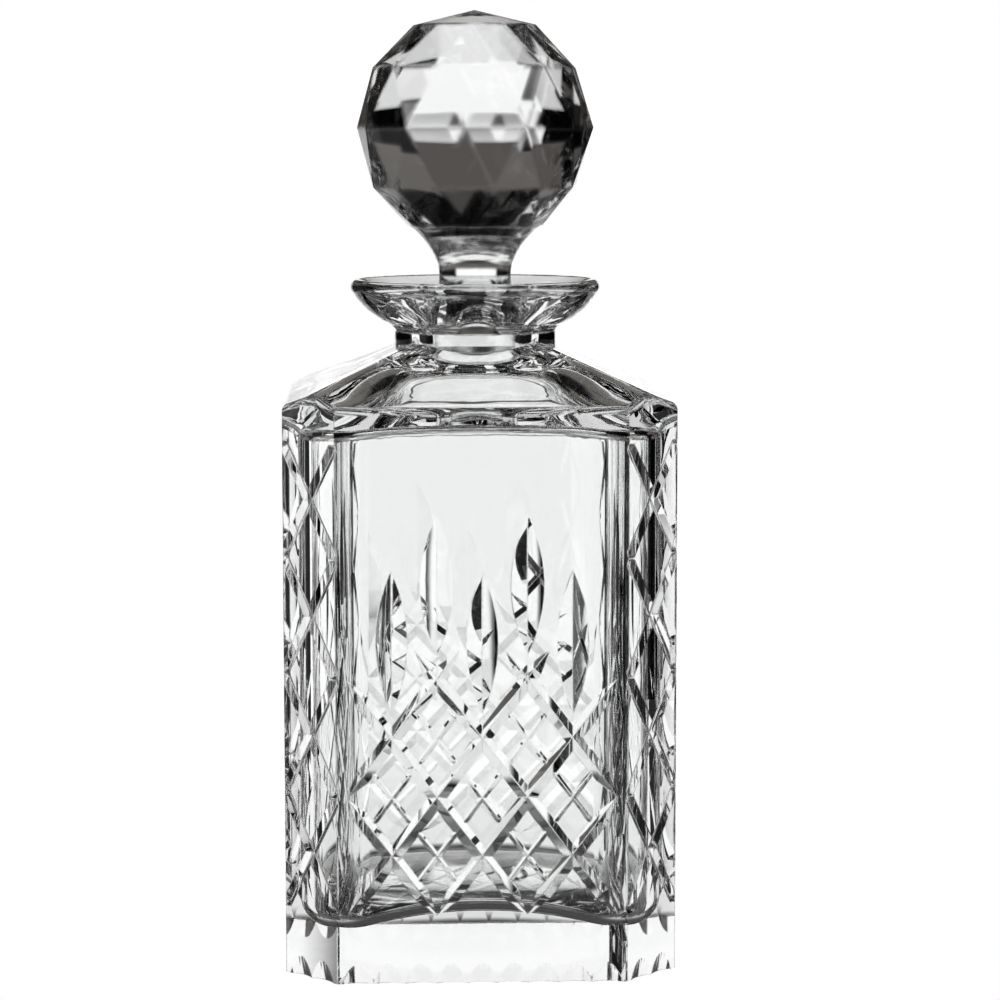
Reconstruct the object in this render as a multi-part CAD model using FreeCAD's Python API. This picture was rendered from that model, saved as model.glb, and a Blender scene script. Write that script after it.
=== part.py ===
"""Square cut-crystal decanter: a one-piece crystal body and a one-piece faceted ball stopper.

Millimetres, +Z up. The origin is the centre of the base, on the plane the decanter stands on.
"""
import FreeCAD, Part
import math
import os

from FreeCAD import Placement, Rotation, Vector

# ---- driving dimensions -------------------------------------------------------------------
WIDTH = 100.0                 # across the flat sides
CORNER_LEG = 13.2             # leg of the flat corner chamfers
SCALLOP_PITCH = 7.9           # notches along the edge of the foot
SCALLOP_CHORD, SCALLOP_DEPTH, SCALLOP_RISE = 7.4, 0.9, 4.2
BREAK_Z = 145.8               # where the sides end and the shoulder begins
BREAK_ROUND = 2.2             # rounding of that edge
SHOULDER_DEG = 22.7           # slope of the four shoulder planes
RIDGE_HALF = 2.4              # half width of the bevel along each shoulder ridge

NECK_R = 21.2
NECK_TOP_Z = 162.5
LIP_R = 32.7
LIP_TOP_Z = 176.0
FLUTE_R = 26.0                # hollow of the flutes outside the lip
FLUTE_LOW_R, FLUTE_HIGH_R, FLUTE_HIGH_Z = 19.0, 31.9, 171.6
BORE_TOP_R = 11.4             # ground seat of the stopper, at SEAT_TOP_Z
SEAT_TOP_Z = 169.0
SEAT_END_Z = 151.0
SEAT_TAPER = 1.0 / 16.0       # radius lost per millimetre of depth
SEAT_GAP = 0.08               # running clearance of the ground stopper, radial

WALL = 9.8                    # glass thickness at the middle of a side
WALL_BOW = 1.8                # how much thinner it gets towards the corners
HOLLOW_CORNER_R = 13.5
OUTLINE_Z = 8.0               # the hollow's outline is drawn here, below its domed floor
DOME_TOP_Z = 20.5             # crown of the domed floor
DOME_R = 150.0
FLOOR_ROUND = 5.0             # rounding round the floor
ROOF_Z = 140.5                # where the wall meets the roof under the shoulder, at mid side
ROOF_ROUND = 3.0              # rounding of that edge
ROOF_TOP_Z = 157.0            # top of the roof's narrow end, inside the neck

BALL_Z = 215.5                # centre of the stopper's ball
BALL_R = 31.0
BALL_SIDES = 12
BALL_TURN_DEG = -6.8
STEM_R = 9.7
STEM_Z = 180.0
PLUG_END_Z = 149.5

HALF = WIDTH / 2.0
UP = Vector(0, 0, 1)
QUARTERS = (0, 90, 180, 270)


# ---- helpers ------------------------------------------------------------------------------
def turned(shape, degrees):
    """A copy of the shape, turned about the vertical axis."""
    copy = shape.copy()
    copy.rotate(Vector(0, 0, 0), UP, degrees)
    return copy


def all_round(shapes, angles=QUARTERS):
    return [turned(shape, angle) for angle in angles for shape in shapes]


def solid_from_faces(point_lists):
    """A solid bounded by flat faces, each given by its corner points in order."""
    faces = [Part.Face(Part.makePolygon(points + points[:1])) for points in point_lists]
    solid = Part.makeSolid(Part.makeShell(faces))
    if solid.Volume < 0:
        solid.reverse()
    return solid


def plane_frame(centre_distance, degrees):
    """The placement of an upright side plane: local x across, local y up, local z outwards."""
    to_front = Rotation(Vector(1, 0, 0), 90)
    turn = Rotation(UP, degrees)
    out = turn.multVec(Vector(0, -centre_distance, 0))
    return Placement(out, turn.multiply(to_front))


def half_space_below(normal, point, size=400.0):
    """A big block filling the side of a plane that its normal points away from."""
    block = Part.makeBox(size, size, size, Vector(-size / 2, -size / 2, -size))
    block.Placement = Placement(point, Rotation(UP, normal))
    return block


# ---- wheel cuts ---------------------------------------------------------------------------
PROUD = 0.8                   # how far a cutter stands out of the surface it cuts


def mitre_cut(start, end, half_width, depth, run_out, proud=PROUD):
    """A straight V groove in the local x-y plane, rising to a point over run_out at each end."""
    along = Vector(end[0] - start[0], end[1] - start[1], 0)
    length = along.Length
    along.normalize()
    across = Vector(-along.y, along.x, 0)
    origin = Vector(start[0], start[1], 0)
    grow = proud / depth
    wide = half_width * (1 + grow)
    tip = run_out * grow

    def at(t, s, n):
        return origin + along * t + across * s + Vector(0, 0, n)

    keel = [at(run_out, 0, -depth), at(length - run_out, 0, -depth)]
    tips = [at(-tip, 0, proud), at(length + tip, 0, proud)]
    left = [at(run_out, wide, proud), at(length - run_out, wide, proud)]
    right = [at(run_out, -wide, proud), at(length - run_out, -wide, proud)]
    return solid_from_faces([
        [keel[0], keel[1], left[1], left[0]],
        [keel[1], keel[0], right[0], right[1]],
        [keel[0], left[0], tips[0]],
        [keel[0], tips[0], right[0]],
        [keel[1], tips[1], left[1]],
        [keel[1], right[1], tips[1]],
        [tips[0], left[0], left[1], tips[1], right[1], right[0]],
    ])


def lance_cut(x, low, high, half_width, depth):
    """A leaf-shaped cut, as a V-edged wheel leaves it: upright, from low to high in local y."""
    half_length = (high - low) / 2.0
    wheel_r = (half_length ** 2 + depth ** 2) / (2 * depth)
    reach = depth + PROUD
    side = half_width * reach / depth
    centre = Vector(x, (low + high) / 2.0, wheel_r - depth)
    left = Part.makeCone(wheel_r, wheel_r - reach, side, centre, Vector(-1, 0, 0))
    right = Part.makeCone(wheel_r, wheel_r - reach, side, centre, Vector(1, 0, 0))
    return left.fuse(right)


# ---- the pattern on each flat side --------------------------------------------------------
COLUMN = 11.4                 # half the width of a diamond
ROW = 15.1                    # half the height of a diamond
ROW_E = 17.5                  # height of the lowest row of crossings
MAIN_HALF, MAIN_DEPTH, MAIN_RUN = 1.95, 1.15, 6.5
FINE_HALF, FINE_DEPTH, FINE_RUN = 0.75, 0.42, 2.5
LANCE_HALF, LANCE_DEPTH = 4.2, 2.2


def node(column, row):
    """A crossing of the diamond lattice: columns from the middle, rows up from the foot."""
    return (column * COLUMN, ROW_E + row * ROW)


def side_cuts():
    """All the cuts of one side in its own plane: lattice, fine crosses and lances."""
    mains = [
        (node(-3, 4), node(1, 0)),
        (node(-1.5, 4.5), node(3, 0)),
        (node(0.5, 4.5), node(3, 2)),
        (node(-3, 2), node(-1, 0)),
    ]
    cuts = []
    for start, end in mains:
        for sign in (-1, 1):
            a = (sign * start[0], start[1])
            b = (sign * end[0], end[1])
            cuts.append(mitre_cut(a, b, MAIN_HALF, MAIN_DEPTH, MAIN_RUN))
    cells = [(-1, 3), (1, 3), (-2, 2), (0, 2), (2, 2), (-1, 1), (1, 1)]
    for column, row in cells:
        for sign in (-1, 1):
            a = node(column - sign * 0.5, row - 0.5)
            b = node(column + sign * 0.5, row + 0.5)
            cuts.append(mitre_cut(a, b, FINE_HALF, FINE_DEPTH, FINE_RUN))
    for x in (-COLUMN, COLUMN):
        cuts.append(lance_cut(x, 84.0, 119.5, LANCE_HALF, LANCE_DEPTH))
    for x in (-2 * COLUMN, 0, 2 * COLUMN):
        cuts.append(lance_cut(x, 69.0, 105.5, LANCE_HALF * 0.95, LANCE_DEPTH))
    return cuts


def corner_cuts():
    """The two crossing zigzags of one corner chamfer, in its own plane."""
    side = CORNER_LEG / math.sqrt(2)
    step = 2 * ROW
    cuts = []
    for k in range(4):
        low, high = ROW_E + k * step, ROW_E + (k + 1) * step
        high = min(high, 137.0)
        for sign in (-1, 1):
            cuts.append(mitre_cut((-sign * side, low), (sign * side, high), 1.6, 1.2, 1.2))
    return cuts


def foot_scallops():
    """Shallow round notches side by side along the edge of the foot, tallest in their middles."""
    radius = (SCALLOP_CHORD ** 2 / 4 + SCALLOP_DEPTH ** 2) / (2 * SCALLOP_DEPTH)
    axis = Vector(0, -SCALLOP_DEPTH, SCALLOP_RISE).normalize()
    notches = []
    for angle in range(0, 360, 45):
        chamfered = angle % 90 != 0
        distance = (HALF - CORNER_LEG / 2) * math.sqrt(2) if chamfered else HALF
        count = 2 if chamfered else 9
        for k in range(count):
            x = (k - (count - 1) / 2.0) * SCALLOP_PITCH
            middle = Vector(x, -distance + SCALLOP_DEPTH - radius, 0)
            notch = Part.makeCylinder(radius, 24.0, middle - axis * 12.0, axis)
            notches.append(turned(notch, angle))
    return notches


# ---- decanter body ------------------------------------------------------------------------
def octagon(half, leg, z):
    points = []
    for quarter in range(4):
        turn = Rotation(UP, 90 * quarter)
        points.append(turn.multVec(Vector(half - leg, -half, z)))
        points.append(turn.multVec(Vector(half, -half + leg, z)))
    return points


def body_blank():
    """The blank: an eight-sided block with a bevelled foot and a four-plane shoulder."""
    points = octagon(HALF, CORNER_LEG, 0)
    block = Part.Face(Part.makePolygon(points + points[:1])).extrude(Vector(0, 0, LIP_TOP_Z))
    slope = math.radians(SHOULDER_DEG)
    for angle in QUARTERS:
        tilt = Rotation(UP, angle).multVec(Vector(0, -math.sin(slope), math.cos(slope)))
        edge = Rotation(UP, angle).multVec(Vector(0, -HALF, BREAK_Z))
        block = block.common(half_space_below(tilt, edge))
    ridge_slope = math.atan(math.tan(slope) / math.sqrt(2))
    drop = RIDGE_HALF * math.tan(slope) / math.sqrt(2)
    for angle in QUARTERS:
        turn = Rotation(UP, angle + 45)
        tilt = turn.multVec(Vector(0, -math.sin(ridge_slope), math.cos(ridge_slope)))
        edge = turn.multVec(Vector(0, -HALF * math.sqrt(2), BREAK_Z - drop))
        block = block.common(half_space_below(tilt, edge))
    rim = [e for e in block.Edges if is_break_edge(e)]
    return block.makeFillet(BREAK_ROUND, rim)


def is_break_edge(edge):
    """True for the edges where the upright sides and corners meet the shoulder."""
    heights = [v.Point.z for v in edge.Vertexes]
    spans = max(heights) - min(heights)
    middle = edge.CenterOfMass
    reach = max(abs(middle.x), abs(middle.y), (abs(middle.x) + abs(middle.y)) / 1.7362)
    return min(heights) > BREAK_Z - 12 and spans < 4 and reach > HALF - 0.3


def lip_and_neck():
    """Neck and flared lip, turned about the axis."""
    top = Vector(0, 0, LIP_TOP_Z)
    wire = [
        Part.makeLine(Vector(0, 0, 150), Vector(NECK_R, 0, 150)),
        Part.makeLine(Vector(NECK_R, 0, 150), Vector(NECK_R, 0, NECK_TOP_Z)),
        Part.Arc(Vector(NECK_R, 0, NECK_TOP_Z), Vector(21.9, 0, 163.6), Vector(23.6, 0, 164.7)).toShape(),
        Part.Arc(Vector(23.6, 0, 164.7), Vector(28.9, 0, 168.6), Vector(32.1, 0, 172.6)).toShape(),
        Part.Arc(Vector(32.1, 0, 172.6), Vector(LIP_R, 0, 174.5), Vector(31.4, 0, LIP_TOP_Z)).toShape(),
        Part.makeLine(Vector(31.4, 0, LIP_TOP_Z), top),
        Part.makeLine(top, Vector(0, 0, 150)),
    ]
    return Part.Face(Part.Wire(wire)).revolve(Vector(0, 0, 0), UP, 360)


def seat_radius(z):
    """Radius of the ground conical seat in the neck."""
    return BORE_TOP_R - (SEAT_TOP_Z - z) * SEAT_TAPER


def mouth():
    """What is taken out of the neck: dish inside the lip, ground seat and the run down to the hollow."""
    low = seat_radius(SEAT_END_Z)
    wire = [
        Part.makeLine(Vector(0, 0, 200), Vector(40, 0, 200)),
        Part.makeLine(Vector(40, 0, 200), Vector(40, 0, LIP_TOP_Z)),
        Part.makeLine(Vector(40, 0, LIP_TOP_Z), Vector(30.6, 0, LIP_TOP_Z)),
        Part.Arc(Vector(30.6, 0, LIP_TOP_Z), Vector(22.4, 0, 173.0), Vector(14.2, 0, 171.0)).toShape(),
        Part.Arc(Vector(14.2, 0, 171.0), Vector(12.2, 0, 170.3), Vector(BORE_TOP_R, 0, SEAT_TOP_Z)).toShape(),
        Part.makeLine(Vector(BORE_TOP_R, 0, SEAT_TOP_Z), Vector(low, 0, SEAT_END_Z)),
        Part.makeLine(Vector(low, 0, SEAT_END_Z), Vector(low, 0, SEAT_END_Z - 12)),
        Part.makeLine(Vector(low, 0, SEAT_END_Z - 12), Vector(0, 0, SEAT_END_Z - 12)),
        Part.makeLine(Vector(0, 0, SEAT_END_Z - 12), Vector(0, 0, 200)),
    ]
    return Part.Face(Part.Wire(wire)).revolve(Vector(0, 0, 0), UP, 360)


def bowed_square(half, radius, bow, z):
    """A square wire with round corners whose sides bow inwards, centred on the axis."""
    flat = half - radius
    lean = 2 * math.atan(bow / flat)
    bulge = radius * math.sqrt(0.5) * math.tan((math.pi / 2 + 2 * lean) / 4)
    corner = half - radius / 2 + bulge * math.sqrt(0.5)
    edges = []
    for quarter in range(4):
        turn = Rotation(UP, 90 * quarter)
        a, m, b, c, d = [turn.multVec(Vector(x, y, z)) for x, y in (
            (-flat, -half), (0, -half + bow), (flat, -half), (corner, -corner), (half, -flat))]
        edges += [Part.Arc(a, m, b).toShape(), Part.Arc(b, c, d).toShape()]
    return Part.Wire(edges)


def roof():
    """A smooth solid whose top closes the hollow: square over the walls, round at the neck."""
    inner = HALF - WALL
    fall = math.tan(math.radians(SHOULDER_DEG))
    sections = [(half, ROOF_Z - (half - inner) * fall, radius)
                for half, radius in ((64.0, 26.0), (52.0, 22.0), (inner, 18.0), (30.0, 18.0), (22.0, 17.0))]
    sections += [(16.5, 149.2, 15.8), (13.0, 151.2, 12.9), (11.0, 153.6, 10.9), (10.4, ROOF_TOP_Z, 10.3)]
    return Part.makeLoft([bowed_square(half, radius, 0.01, z) for half, z, radius in sections], True, False)


def hollow():
    """The space for the spirit: bowed walls, a domed floor, and a rounded roof under the shoulder."""
    outline = Part.Face(bowed_square(HALF - WALL + WALL_BOW, HOLLOW_CORNER_R, WALL_BOW, OUTLINE_Z))
    top = outline.extrude(Vector(0, 0, ROOF_TOP_Z - 1 - OUTLINE_Z)).common(roof())
    space = outline.extrude(Vector(0, 0, top.BoundBox.ZMin + 2 - OUTLINE_Z)).fuse(top).removeSplitter()
    space = space.cut(Part.makeSphere(DOME_R, Vector(0, 0, DOME_TOP_Z - DOME_R)))
    space = space.makeFillet(FLOOR_ROUND, edges_between(space, OUTLINE_Z, DOME_TOP_Z - 1))
    return space.makeFillet(ROOF_ROUND, edges_between(space, ROOF_Z - 4, ROOF_Z + 2))


def edges_between(shape, low, high):
    """The edges of a shape that lie wholly between two heights, leaving out seams and points."""
    return [e for e in shape.Edges
            if e.BoundBox.ZMin > low and e.BoundBox.ZMax < high and e.Length > 1 and not is_upright(e)]


def is_upright(edge):
    return edge.BoundBox.ZLength > 0.95 * edge.Length


def lip_flutes():
    """Eight hollow flutes round the outside of the lip, widest at the neck and arched at the top."""
    low, high = Vector(0, -FLUTE_LOW_R, NECK_TOP_Z), Vector(0, -FLUTE_HIGH_R, FLUTE_HIGH_Z)
    axis = (high - low).normalize()
    outwards = Vector(0, -axis.z, axis.y)
    base = low + outwards * FLUTE_R - axis * 20
    flute = Part.makeCylinder(FLUTE_R, 60.0, base, axis)
    keep = Part.makeBox(80, 80, 40, Vector(-40, -80, NECK_TOP_Z))
    return all_round([flute.common(keep)], [45 * k for k in range(8)])


def decanter_body():
    body = body_blank().fuse(lip_and_neck()).removeSplitter()
    cuts = []
    for angle in QUARTERS:
        side = plane_frame(HALF, angle)
        for cut in side_cuts():
            cut.Placement = side.multiply(cut.Placement)
            cuts.append(cut)
        corner = plane_frame((HALF - CORNER_LEG / 2) * math.sqrt(2), angle + 45)
        for cut in corner_cuts():
            cut.Placement = corner.multiply(cut.Placement)
            cuts.append(cut)
    body = body.cut(cuts)
    body = body.cut(foot_scallops())
    body = body.cut(lip_flutes())
    return body.cut([hollow(), mouth()])


# ---- stopper ------------------------------------------------------------------------------
def ball():
    """The cut ball: staggered rings of corners joined by flat triangles."""
    rings = []
    for k, elevation in enumerate((-55, -30, 0, 30, 59)):
        lift = math.radians(elevation)
        shift = 180.0 / BALL_SIDES * (k % 2)
        ring = []
        for n in range(BALL_SIDES):
            turn = math.radians(BALL_TURN_DEG + shift + n * 360.0 / BALL_SIDES)
            across = BALL_R * math.cos(lift)
            ring.append(Vector(across * math.sin(turn), -across * math.cos(turn),
                               BALL_Z + BALL_R * math.sin(lift)))
        rings.append(ring)
    faces = [rings[0][::-1]]
    for k in range(len(rings) - 1):
        low, high = rings[k], rings[k + 1]
        if k % 2:
            high = high[1:] + high[:1]
        for n in range(BALL_SIDES):
            m = (n + 1) % BALL_SIDES
            faces.append([low[n], low[m], high[n]])
            faces.append([high[n], low[m], high[m]])
    crown = Vector(0, 0, BALL_Z + BALL_R - 0.6)
    top = rings[-1]
    faces += [[top[n], top[(n + 1) % BALL_SIDES], crown] for n in range(BALL_SIDES)]
    return solid_from_faces(faces)


def stem_and_plug():
    """Flare under the ball, stem, and the ground plug with its rounded end."""
    plug_top = seat_radius(SEAT_TOP_Z) - SEAT_GAP
    plug_low = seat_radius(PLUG_END_Z + 2.0) - SEAT_GAP
    wire = [
        Part.makeLine(Vector(0, 0, 196), Vector(15, 0, 196)),
        Part.makeLine(Vector(15, 0, 196), Vector(17.2, 0, 190.0)),
        Part.Arc(Vector(17.2, 0, 190.0), Vector(12.0, 0, 184.6), Vector(STEM_R, 0, STEM_Z)).toShape(),
        Part.Arc(Vector(STEM_R, 0, STEM_Z), Vector(9.6, 0, 174.5), Vector(plug_top, 0, SEAT_TOP_Z)).toShape(),
        Part.makeLine(Vector(plug_top, 0, SEAT_TOP_Z), Vector(plug_low, 0, PLUG_END_Z + 2.0)),
        Part.makeLine(Vector(plug_low, 0, PLUG_END_Z + 2.0), Vector(plug_low - 2.0, 0, PLUG_END_Z)),
        Part.makeLine(Vector(plug_low - 2.0, 0, PLUG_END_Z), Vector(0, 0, PLUG_END_Z)),
        Part.makeLine(Vector(0, 0, PLUG_END_Z), Vector(0, 0, 196)),
    ]
    return Part.Face(Part.Wire(wire)).revolve(Vector(0, 0, 0), UP, 360)


def stopper():
    return ball().fuse(stem_and_plug())


def main():
    os.makedirs("parts", exist_ok=True)
    for name, make in (("decanter_body", decanter_body), ("stopper", stopper)):
        shape = make()
        box = shape.BoundBox
        print(name, shape.isValid(), len(shape.Solids), round(shape.Volume), box)
        shape.exportStep("parts/" + name + ".step")


main()
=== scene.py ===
"""Looks, light and camera for the cut crystal decanter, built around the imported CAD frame."""
import math

import bpy
from mathutils import Euler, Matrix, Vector


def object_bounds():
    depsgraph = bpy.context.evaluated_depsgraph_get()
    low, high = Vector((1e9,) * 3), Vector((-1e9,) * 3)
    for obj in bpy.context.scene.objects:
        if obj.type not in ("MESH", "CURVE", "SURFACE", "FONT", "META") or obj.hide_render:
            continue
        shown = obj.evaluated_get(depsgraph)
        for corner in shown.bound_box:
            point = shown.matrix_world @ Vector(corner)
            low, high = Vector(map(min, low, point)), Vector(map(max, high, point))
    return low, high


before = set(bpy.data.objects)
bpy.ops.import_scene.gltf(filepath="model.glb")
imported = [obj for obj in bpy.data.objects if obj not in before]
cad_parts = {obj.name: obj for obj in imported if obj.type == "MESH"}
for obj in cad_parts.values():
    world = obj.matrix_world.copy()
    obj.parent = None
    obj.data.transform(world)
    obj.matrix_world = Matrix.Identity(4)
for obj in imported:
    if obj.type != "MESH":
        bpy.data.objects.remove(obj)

cad_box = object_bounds()

# ---- sizes worked out from the frame (metres) -----------------------------------------------
low, high = cad_box
WIDTH = high.x - low.x
AXIS = Vector(((low.x + high.x) / 2, (low.y + high.y) / 2, 0))

# ---- camera ---------------------------------------------------------------------------------
CAMERA_DISTANCE = 8.5 * WIDTH
CAMERA_HEIGHT = 2.129 * WIDTH
CAMERA_YAW = math.radians(-1.9)
CAMERA_PITCH = math.radians(-6.4)
CAMERA_ROLL = math.radians(-0.1)
LENS = 116.3
SENSOR_WIDTH = 36.0
SHIFT_X = 0.0246
CLIP_NEAR = 0.05
CLIP_FAR = 100.0


def make_camera():
    data = bpy.data.cameras.new("camera")
    data.lens = LENS
    data.sensor_width = SENSOR_WIDTH
    data.shift_x = SHIFT_X
    data.clip_start = CLIP_NEAR
    data.clip_end = CLIP_FAR
    camera = bpy.data.objects.new("camera", data)
    camera.location = (AXIS.x + CAMERA_DISTANCE * math.sin(CAMERA_YAW),
                       AXIS.y - CAMERA_DISTANCE * math.cos(CAMERA_YAW),
                       low.z + CAMERA_HEIGHT)
    look = Euler((math.pi / 2 + CAMERA_PITCH, 0, CAMERA_YAW), "XYZ")
    camera.rotation_mode = "QUATERNION"
    camera.rotation_quaternion = look.to_quaternion() @ Euler((0, 0, CAMERA_ROLL)).to_quaternion()
    bpy.context.scene.collection.objects.link(camera)
    bpy.context.scene.camera = camera


# ---- nodes ----------------------------------------------------------------------------------
class Graph:
    """Short calls for building a node tree."""

    def __init__(self, tree):
        self.tree = tree
        tree.nodes.clear()

    def node(self, kind, inputs=None, **settings):
        made = self.tree.nodes.new(kind)
        for key, value in settings.items():
            setattr(made, key, value)
        for key, value in (inputs or {}).items():
            self.feed(made.inputs[key], value)
        return made

    def feed(self, socket, value):
        if isinstance(value, bpy.types.NodeSocket):
            self.tree.links.new(value, socket)
        else:
            socket.default_value = value

    def math(self, operation, a, b=0.0, c=0.0):
        return self.node("ShaderNodeMath", {0: a, 1: b, 2: c}, operation=operation).outputs[0]

    def axes(self, kind):
        """The x, y and z of one kind of texture coordinate."""
        place = self.node("ShaderNodeTexCoord").outputs[kind]
        return self.node("ShaderNodeSeparateXYZ", {0: place}).outputs

    def step(self, value, start, end):
        """0 at start, 1 at end, smooth between."""
        made = self.node("ShaderNodeMapRange", {0: value, 1: start, 2: end, 3: 0.0, 4: 1.0},
                         interpolation_type="SMOOTHSTEP")
        return made.outputs[0]

    def blend(self, share, a, b):
        """Colour a where the share is 0, colour b where it's 1."""
        made = self.node("ShaderNodeMix", data_type="RGBA")
        for socket, value in ((0, share), (6, a), (7, b)):
            self.feed(made.inputs[socket], value)
        return made.outputs[2]

    def ramp(self, height, stops):
        """A colour that follows a direction's height: stops are (elevation in degrees, colour)."""
        ramp = self.node("ShaderNodeValToRGB", {0: self.math("MULTIPLY_ADD", height, 0.5, 0.5)})
        elements = ramp.color_ramp.elements
        while len(elements) < len(stops):
            elements.new(0.5)
        for element, (degrees, colour) in zip(elements, stops):
            element.position = 0.5 + 0.5 * math.sin(math.radians(degrees))
            element.color = (*colour, 1)
        return ramp.outputs[0]


# ---- glass ----------------------------------------------------------------------------------
GLASS_COLOUR = (0.985, 0.99, 0.988, 1)
GLASS_IOR = 1.545
GLASS_HAZE = 1.3               # absorption per metre of glass
WAVE_SIZE = 0.012              # spacing of the faint waves left on a polished face
BODY_EDGE, BODY_WAVE = 0.0005, 0.00002           # rounding of the cut edges, height of the waves
STOPPER_EDGE, STOPPER_WAVE = 0.0022, 0.00003
EDGE_SAMPLES = 4


def crystal(name, edge_round, wave_height):
    """Polished lead crystal: softened cut edges, and faces that are very slightly wavy."""
    material = bpy.data.materials.new(name)
    material.use_nodes = True
    g = Graph(material.node_tree)
    wave = g.node("ShaderNodeTexNoise", {
        "Vector": g.node("ShaderNodeTexCoord").outputs["Object"],
        "Scale": 1 / WAVE_SIZE,
        "Detail": 1.0,
        "Roughness": 0.4,
    })
    bump = g.node("ShaderNodeBump", {"Strength": 1.0, "Distance": wave_height, "Height": wave.outputs[0]})
    soft = g.node("ShaderNodeBevel", {"Radius": edge_round, "Normal": bump.outputs[0]},
                  samples=EDGE_SAMPLES)
    shader = g.node("ShaderNodeBsdfPrincipled", {
        "Base Color": GLASS_COLOUR,
        "Roughness": 0.0,
        "IOR": GLASS_IOR,
        "Transmission Weight": 1.0,
        "Normal": soft.outputs[0],
    })
    haze = g.node("ShaderNodeVolumeAbsorption", {"Color": (0, 0, 0, 1), "Density": GLASS_HAZE})
    g.node("ShaderNodeOutputMaterial", {"Surface": shader.outputs[0], "Volume": haze.outputs[0]})
    return material


def dress(node, material):
    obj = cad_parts[node]
    obj.data.materials.clear()
    obj.data.materials.append(material)


# ---- studio ---------------------------------------------------------------------------------
# What the glass sees: upright white screens behind it, to its left and in front to its right, a
# floor lit towards them, and a grey room above them. Elsewhere it's dark, except steeply down
# and up at the lamp. The camera itself sees a white floor and a white room.
FLOOR_R = 0.45
FLOOR_Z = -0.0002
FLOOR_SIDES = 128
SCREEN_DISTANCE = 0.36
SCREENS = ((0, 21.0), (90, 12.0), (225, 15.0))      # turn about the axis, half width in degrees
SOFT_DEG = 4.0                 # width of the screens' soft side edges
SCREEN_FADE = (0.234, 0.204)   # the top edge fades from grey to white between these heights
LIT = (1, 1, 1)
GREY = (0.27, 0.257, 0.245)
DARK = (0.006, 0.006, 0.006)
HORIZON_DEG = 0.5              # half the change from floor to grey, towards the screens
GREY_FROM_DEG = (4, 7)         # behind the object the grey begins between these elevations
GREY_TO_DEG = (30.0, 36.0)     # and it ends between these
FLOOR_DARK_DEG = (32.0, 45.0)  # the floor is dark seen at less than this: behind the object, elsewhere
ROOM_DARK_DEG = (14.0, 40.0)   # the same for the room beyond the floor
EDGE_DEG = 1                   # half the width of those changes
BEHIND_SLOPE = (2.2, 1.6)      # behind means that x over y is below this, to either side
WHITE = 1.14
FLOOR_WHITE = 0.98
SHADE_FROM, SHADE_TO = 0.52 * WIDTH, 0.66 * WIDTH   # the floor's glow is darker under the object: a painted shadow
SHADE = 0.15                   # share of the floor's light that is left in the painted shadow
LAMP_DEG = (64.0, 66.0)        # the overhead lamp starts between these elevations
LAMP = (1.1, 1.1, 1.1)


def sector_mask(g, x, y, reach=0.0):
    """1 towards the screens. With a reach, the sectors start from the sides of a square this
    wide each way instead of from the axis."""
    mask = 0.0
    for turn, half_deg in SCREENS:
        cos, sin = math.cos(math.radians(turn)), math.sin(math.radians(turn))
        along = g.math("SUBTRACT", g.math("MULTIPLY", y, cos), g.math("MULTIPLY", x, sin))
        across = g.math("ADD", g.math("MULTIPLY", x, cos), g.math("MULTIPLY", y, sin))
        ahead = g.math("MAXIMUM", g.math("SUBTRACT", along, reach), 1e-5)
        aside = g.math("SUBTRACT", g.math("ABSOLUTE", across), reach)
        soft = SOFT_DEG / 2
        lobe = g.step(g.math("DIVIDE", aside, ahead), math.tan(math.radians(half_deg + soft)),
                      math.tan(math.radians(half_deg - soft)))
        mask = g.math("MAXIMUM", mask, lobe)
    return mask


def behind_mask(g, x, y):
    """1 behind the object, out to a good way round to both sides."""
    slope = g.math("DIVIDE", g.math("ABSOLUTE", x), g.math("MAXIMUM", y, 1e-5))
    return g.step(slope, *BEHIND_SLOPE)


def glow_material(name, strength):
    """A white glow, with the strength worked out by a function of the graph."""
    material = bpy.data.materials.new(name)
    material.use_nodes = True
    g = Graph(material.node_tree)
    glow = g.node("ShaderNodeEmission", {"Color": (1, 1, 1, 1), "Strength": strength(g)})
    g.node("ShaderNodeOutputMaterial", {"Surface": glow.outputs[0]})
    return material


def floor_glow(g):
    """White to the camera; in the glass it's lit only towards the screens, or seen steeply, and darker
    under the object, a painted shadow.
    """
    x, y, _ = g.axes("Object")
    graze = g.node("ShaderNodeLayerWeight", {"Blend": 0.5}).outputs["Facing"]
    behind, away = [g.step(graze, 1 - math.sin(math.radians(deg - EDGE_DEG)),
                           1 - math.sin(math.radians(deg + EDGE_DEG)))
                    for deg in FLOOR_DARK_DEG]
    steep = g.math("MAXIMUM", away, g.math("MULTIPLY", behind, behind_mask(g, x, y)))
    lit = g.math("MAXIMUM", steep, sector_mask(g, x, y, WIDTH / 2))
    reach = g.math("SQRT", g.math("ADD", g.math("MULTIPLY", x, x), g.math("MULTIPLY", y, y)))
    # painted shadow: the floor's glow drops to a share of itself under the object
    clear = g.math("MULTIPLY_ADD", g.step(reach, SHADE_FROM, SHADE_TO),
                   FLOOR_WHITE * (1 - SHADE), FLOOR_WHITE * SHADE)
    camera_ray = g.node("ShaderNodeLightPath").outputs["Is Camera Ray"]
    return g.math("MAXIMUM", g.math("MULTIPLY", lit, clear), camera_ray)


def make_floor():
    bpy.ops.mesh.primitive_circle_add(vertices=FLOOR_SIDES, radius=FLOOR_R, fill_type="NGON",
                                      location=(0, 0, FLOOR_Z))
    floor = bpy.context.object
    floor.name = "floor"
    floor.data.materials.append(glow_material("floor_white", floor_glow))


def screen_half(half_deg, side):
    """Half the width of a screen, to the outer (1) or the inner (-1) end of its soft edge."""
    return SCREEN_DISTANCE * math.tan(math.radians(half_deg + side * SOFT_DEG / 2)) + WIDTH / 4


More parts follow.
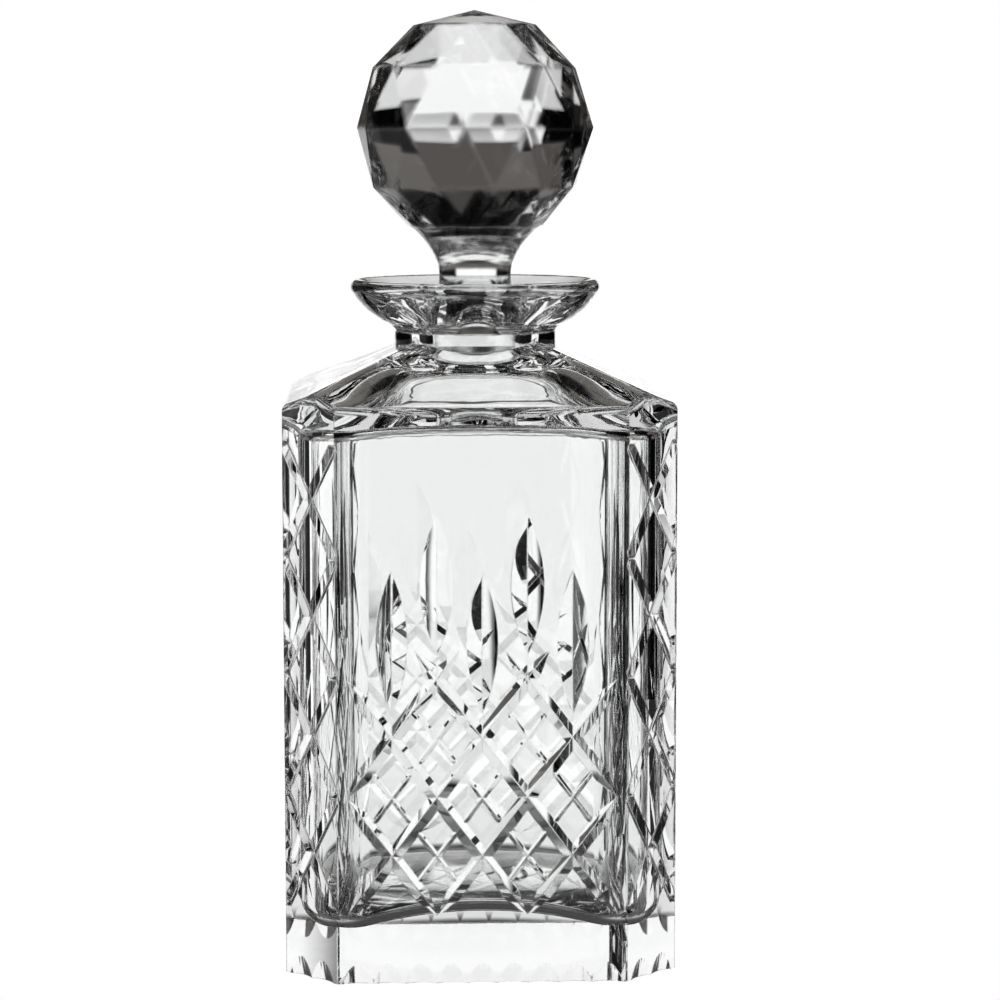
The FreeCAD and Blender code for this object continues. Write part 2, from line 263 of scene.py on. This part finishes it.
def screen_glow(half_deg):
    """White, fading to grey along the top and at both sides."""
    def strength(g):
        x, _, z = g.axes("Object")
        tall = g.step(z, *SCREEN_FADE)
        wide = g.step(g.math("ABSOLUTE", x), screen_half(half_deg, 1), screen_half(half_deg, -1))
        return g.math("MULTIPLY_ADD", g.math("MULTIPLY", tall, wide), WHITE - GREY[0], GREY[0])
    return strength


def make_screens():
    for turn, half_deg in SCREENS:
        half = screen_half(half_deg, 1)
        top = SCREEN_FADE[0]
        corners = [(-half, 0), (half, 0), (half, top), (-half, top)]
        mesh = bpy.data.meshes.new("screen_%d" % turn)
        mesh.from_pydata([(x, SCREEN_DISTANCE, z) for x, z in corners], [], [(0, 1, 2, 3)])
        mesh.materials.append(glow_material("screen_white_%d" % turn, screen_glow(half_deg)))
        screen = bpy.data.objects.new(mesh.name, mesh)
        screen.rotation_euler.z = math.radians(turn)
        screen.visible_camera = False
        bpy.context.scene.collection.objects.link(screen)


def make_world():
    """The room beyond the screens. The camera itself sees plain white."""
    world = bpy.data.worlds.new("studio")
    bpy.context.scene.world = world
    world.use_nodes = True
    g = Graph(world.node_tree)
    x, y, height = g.axes("Generated")
    lamp = [(LAMP_DEG[0], DARK), (LAMP_DEG[1], LAMP), (90, LAMP)]
    grey_begins = [(GREY_FROM_DEG[0], DARK), (GREY_FROM_DEG[1], GREY)]
    grey_ends = [(GREY_TO_DEG[0], GREY), (GREY_TO_DEG[1], DARK)]
    behind_floor, away_floor = [
        [(-90, LIT), (-deg - EDGE_DEG, LIT), (-deg + EDGE_DEG, DARK)] for deg in ROOM_DARK_DEG]
    horizon = [(-90, LIT), (-HORIZON_DEG, LIT), (HORIZON_DEG, GREY)]
    screened = g.ramp(height, horizon + grey_ends + lamp)
    behind = g.ramp(height, behind_floor + grey_begins + grey_ends + lamp)
    away = g.ramp(height, away_floor + lamp)
    room = g.blend(behind_mask(g, x, y), away, behind)
    room = g.blend(sector_mask(g, x, y), room, screened)
    seen = g.node("ShaderNodeBackground", {"Color": (1, 1, 1, 1), "Strength": 1.0})
    around = g.node("ShaderNodeBackground", {"Color": room, "Strength": 1.0})
    camera_ray = g.node("ShaderNodeLightPath").outputs["Is Camera Ray"]
    mix = g.node("ShaderNodeMixShader", {0: camera_ray, 1: around.outputs[0], 2: seen.outputs[0]})
    g.node("ShaderNodeOutputWorld", {"Surface": mix.outputs[0]})


# ---- picture --------------------------------------------------------------------------------
VIEW_GAMMA = 0.6               # deep blacks, as in a product picture of crystal
GLASS_BOUNCES = 24
GLOSSY_BOUNCES = 12
DIFFUSE_BOUNCES = 2


def set_render():
    scene = bpy.context.scene
    scene.view_settings.view_transform = "Standard"
    scene.view_settings.gamma = VIEW_GAMMA
    scene.cycles.max_bounces = GLASS_BOUNCES
    scene.cycles.transmission_bounces = GLASS_BOUNCES
    scene.cycles.glossy_bounces = GLOSSY_BOUNCES
    scene.cycles.diffuse_bounces = DIFFUSE_BOUNCES
    scene.cycles.caustics_refractive = False
    scene.cycles.caustics_reflective = False


make_camera()
make_floor()
make_screens()
make_world()
set_render()
dress("decanter_body", crystal("body_crystal", BODY_EDGE, BODY_WAVE))
dress("stopper", crystal("stopper_crystal", STOPPER_EDGE, STOPPER_WAVE))
